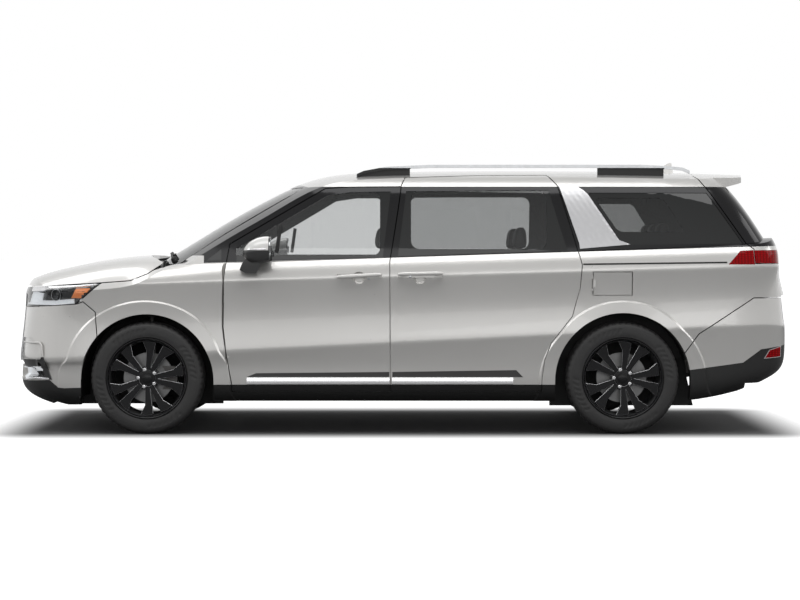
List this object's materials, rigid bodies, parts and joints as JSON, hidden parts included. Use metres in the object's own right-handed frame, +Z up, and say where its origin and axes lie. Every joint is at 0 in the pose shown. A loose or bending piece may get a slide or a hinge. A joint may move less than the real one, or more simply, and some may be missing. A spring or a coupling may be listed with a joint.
{
  "type": "minivan",
  "caption": "Family van with long cabin, hinged front doors, sliding rear doors, lifting tailgate and hood, and steered front wheels.",
  "frame": {"origin": "on the ground, under the middle of the vehicle", "axes": "+X towards the tail, -X the nose, -Y the driver's left side, +Z up"},
  "size_m": [5.1454, 2.24, 1.803],
  "materials": {
    "paint": "gloss pearl white",
    "underbody": "matt black",
    "black_plastic": "gloss black",
    "lamp_clear": "clear lens over bright reflectors",
    "lamp_red": "deep red lens",
    "glass_clear": "lightly tinted",
    "glass_dark": "privacy tint",
    "satin_metal": "satin silver",
    "cabin_plastic": "grained",
    "seat_cloth": "dark grained",
    "cast_alloy": "rough cast",
    "steel": "dull",
    "cast_iron_slot": "machined casting",
    "alloy_black": "gloss black",
    "tyre_rubber": "matt black"
  },
  "bodies": {
    "chassis": {"floor_pan": "underbody", "front_frame": "underbody", "body_side_left": "paint", "body_side_right": "paint", "roof_panel": "paint", "fender_left": "paint", "fender_right": "paint", "front_bumper": "paint", "front_valance": "black_plastic", "rear_valance": "black_plastic", "wheel_liners": "black_plastic", "grille": "black_plastic", "headlights": "lamp_clear", "rear_bumper": "paint", "windshield": "glass_clear", "cowl": "black_plastic", "sliding_door_left": "paint", "sliding_door_right": "paint", "side_glass": "glass_dark", "tail_lamps": "lamp_red", "roof_rails": "satin_metal", "antenna_fin": "paint", "dashboard": "cabin_plastic", "front_seats": "seat_cloth", "second_row_seats": "seat_cloth", "third_row_seats": "seat_cloth", "engine": "cast_alloy", "exhaust": "steel", "fuel_tank": "black_plastic", "front_suspension": "underbody", "rear_axle": "underbody"},
    "hood": {"hood": "paint"},
    "front_door_left": {"front_door_left": "paint", "front_glass_left": "glass_dark", "mirror_left": "paint"},
    "front_door_right": {"front_door_right": "paint", "front_glass_right": "glass_dark", "mirror_right": "paint"},
    "tailgate": {"tailgate": "paint", "tailgate_glass": "glass_dark", "light_bar": "lamp_red"},
    "fuel_flap": {"fuel_flap": "paint"},
    "steering_wheel": {"steering_wheel": "cabin_plastic"},
    "knuckle_left": {"knuckle_left": "cast_iron_slot"},
    "knuckle_right": {"knuckle_right": "cast_iron_slot"},
    "wheel_front_left": {"rim_front_left": "alloy_black", "tyre_front_left": "tyre_rubber"},
    "wheel_front_right": {"rim_front_right": "alloy_black", "tyre_front_right": "tyre_rubber"},
    "wheel_rear_left": {"rim_rear_left": "alloy_black", "tyre_rear_left": "tyre_rubber"},
    "wheel_rear_right": {"rim_rear_right": "alloy_black", "tyre_rear_right": "tyre_rubber"}
  },
  "joints": [
    {"name": "steer_left", "type": "hinge", "parent": "chassis", "child": "knuckle_left", "pos_m": [-1.643, -0.8, 0.215], "axis": [0, 0.2259, 0.9742], "range_deg": [-35, 35]},
    {"name": "steer_right", "type": "hinge", "parent": "chassis", "child": "knuckle_right", "pos_m": [-1.643, 0.8, 0.215], "axis": [0, -0.2259, 0.9742], "range_deg": [-35, 35]},
    {"name": "steering_wheel_turn", "type": "hinge", "parent": "chassis", "child": "steering_wheel", "pos_m": [-0.73, -0.4, 0.98], "axis": [0.9135, 0, 0.4067], "range_deg": [-520, 520]},
    {"name": "hood_lift", "type": "hinge", "parent": "chassis", "child": "hood", "pos_m": [-1.548, 0, 1.118], "axis": [0, 1, 0], "range_deg": [0, 50]},
    {"name": "front_door_left_swing", "type": "hinge", "parent": "chassis", "child": "front_door_left", "pos_m": [-1.115, -0.97, 0.7], "axis": [0, 0, -1], "range_deg": [0, 68]},
    {"name": "front_door_right_swing", "type": "hinge", "parent": "chassis", "child": "front_door_right", "pos_m": [-1.115, 0.97, 0.7], "axis": [0, 0, 1], "range_deg": [0, 68]},
    {"name": "tailgate_lift", "type": "hinge", "parent": "chassis", "child": "tailgate", "pos_m": [1.925, 0, 1.714], "axis": [0, -1, 0], "range_deg": [0, 80]},
    {"name": "fuel_flap_swing", "type": "hinge", "parent": "chassis", "child": "fuel_flap", "pos_m": [1.2502, -0.98805, 0.98], "axis": [0, 0.1093, -0.994], "range_deg": [0, 90]},
    {"name": "wheel_front_left_spin", "type": "hinge", "parent": "knuckle_left", "child": "wheel_front_left", "pos_m": [-1.643, -0.86, 0.365], "axis": [0, 1, 0], "continuous": true},
    {"name": "wheel_rear_left_spin", "type": "hinge", "parent": "chassis", "child": "wheel_rear_left", "pos_m": [1.447, -0.86, 0.365], "axis": [0, 1, 0], "continuous": true},
    {"name": "wheel_front_right_spin", "type": "hinge", "parent": "knuckle_right", "child": "wheel_front_right", "pos_m": [-1.643, 0.86, 0.365], "axis": [0, 1, 0], "continuous": true},
    {"name": "wheel_rear_right_spin", "type": "hinge", "parent": "chassis", "child": "wheel_rear_right", "pos_m": [1.447, 0.86, 0.365], "axis": [0, 1, 0], "continuous": true}
  ],
  "couplings": [
    {"joint": "steer_right", "follows": "steer_left", "ratio": 1},
    {"joint": "steering_wheel_turn", "follows": "steer_left", "ratio": 14.8}
  ]
}
